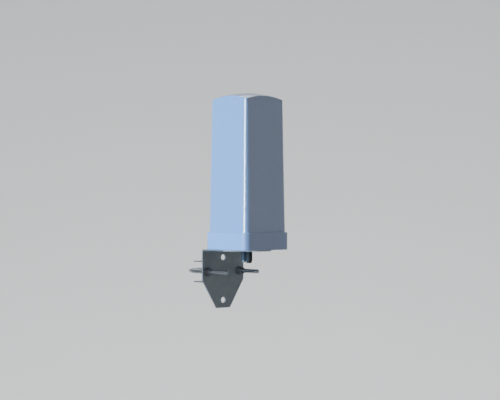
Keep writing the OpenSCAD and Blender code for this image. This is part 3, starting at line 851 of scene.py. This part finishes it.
radome_shell()
housing_shell()
refined("bracket_plate", "bracket", 0.35)
refined("saddle_channel", "saddle", 0.3)
refined("foam_block", "top_foam", 0.4)
u_bolt_rod()
for side_name in ("left", "right"):
    flat_washer(side_name + "_flat_ring", side_name + "_washer")
    split_washer(side_name + "_split_ring", side_name + "_spring_washer")
    hex_nut(side_name + "_hex_nut", side_name + "_nut")
jack_body("front_jack_body", "front_jack")
jack_body("rear_jack_body", "rear_jack")
cap_body()


# ---- Floor, lights and camera ----

# The studio's round room, in metres
FLOOR_Z = -1.8
FLOOR_R = 3.5
BEND_R = 7.0
WALL_H = 1.0
DOME_H = 4.0
QUARTER_STEPS = 32
FLOOR_RINGS = 8
ROOM_SIDES = 96


def studio():
    """A round pale floor that curves up into a wall and a ceiling, all well clear of the antenna."""
    look = Look("studio_paper", Specular_IOR_Level=0.2, Roughness=0.9)
    look.use(Base_Color=look.blend(look.noise(0.8, 2.0), (0.75, 0.76, 0.77), (0.78, 0.79, 0.8)))
    quarter = [math.pi / 2 * i / QUARTER_STEPS for i in range(QUARTER_STEPS + 1)]
    wall_r = FLOOR_R + BEND_R
    wall_top = FLOOR_Z + BEND_R + WALL_H
    profile = [(FLOOR_R * i / FLOOR_RINGS, FLOOR_Z) for i in range(FLOOR_RINGS + 1)]
    profile += [(FLOOR_R + BEND_R * math.sin(angle), FLOOR_Z + BEND_R * (1 - math.cos(angle)))
                for angle in quarter[1:]]
    profile += [(wall_r * math.cos(angle), wall_top + DOME_H * math.sin(angle)) for angle in quarter]
    bm = bmesh.new()
    turned(bm, [(r / MM, z / MM) for r, z in profile], (0, 0, 0), (0, 0, 1), ROOM_SIDES, loop=False)
    floor = as_object("studio_floor", bm)
    floor.data.shade_smooth()
    floor.data.materials.append(look.material)


def area_light(name, place_at, target, size, power, colour=(1, 1, 1), diffuse=True, glossy=True,
               spread=180.0):
    """A rectangular light panel that faces target. diffuse and glossy say whether matt and
    mirror-like surfaces catch it, and a narrow spread, in degrees, aims its beam."""
    data = bpy.data.lights.new(name, "AREA")
    data.shape = "RECTANGLE"
    data.size, data.size_y = size
    data.energy = power
    data.color = colour
    data.spread = math.radians(spread)
    light = bpy.data.objects.new(name, data)
    light.location = place_at
    light.rotation_euler = (target - place_at).to_track_quat("-Z", "Y").to_euler()
    light.visible_diffuse = diffuse
    light.visible_glossy = glossy
    scene.collection.objects.link(light)


VIEW_AZIMUTH = math.radians(43.34)
AHEAD = Vector((math.sin(VIEW_AZIMUTH), math.cos(VIEW_AZIMUTH), 0))
CAMERA_AT = Vector((-1.790, -2.012, 0.1331))
LENS = 102.3
# In metres: how far behind the antenna the backdrop's lights hang
BEHIND = 2.5

studio()
centre = (cad_box[0] + cad_box[1]) / 2
behind = centre + AHEAD * BEHIND
# A blue light from the left for the matt tone, and a panel that only the near edge mirrors
area_light("key", centre + Vector((-2.3, 0.8, 0.0)), centre, size=(1.2, 1.2), power=20.5,
           colour=(0.18, 0.545, 1.0), glossy=False, spread=50.0)
area_light("edge", centre + Vector((-2.38, -0.4, 0.19)), centre, size=(0.9, 0.58), power=62.0,
           colour=(0.85, 0.95, 1.0), diffuse=False)
area_light("ceiling", Vector((0, 0, 5.5)), Vector((0, 0.001, 0)), size=(8.0, 8.0), power=130.0,
           colour=(1.0, 0.86, 0.72))
area_light("top", centre + Vector((-0.9, 0.5, 2.1)), centre, size=(0.9, 0.9), power=24.0,
           colour=(0.78, 0.9, 1.0))
# Two more light the wall and the floor behind the antenna
area_light("backdrop_light", behind + UP * 2.4, behind + AHEAD * 7 + UP * 0.2, size=(6.0, 1.0),
           power=330.0, colour=(0.97, 0.985, 1.0))
area_light("floor_light", behind + AHEAD + UP * 3, behind + AHEAD * 2 - UP * 2, size=(6.0, 3.0),
           power=60.0)

camera_data = bpy.data.cameras.new("camera")
camera_data.lens = LENS
camera_data.sensor_width = 36.0
camera_data.clip_start = 0.05
camera_data.clip_end = 60.0
camera = bpy.data.objects.new("camera", camera_data)
camera.location = CAMERA_AT
camera.rotation_euler = (math.pi / 2, 0.0, -VIEW_AZIMUTH)
scene.collection.objects.link(camera)
scene.camera = camera
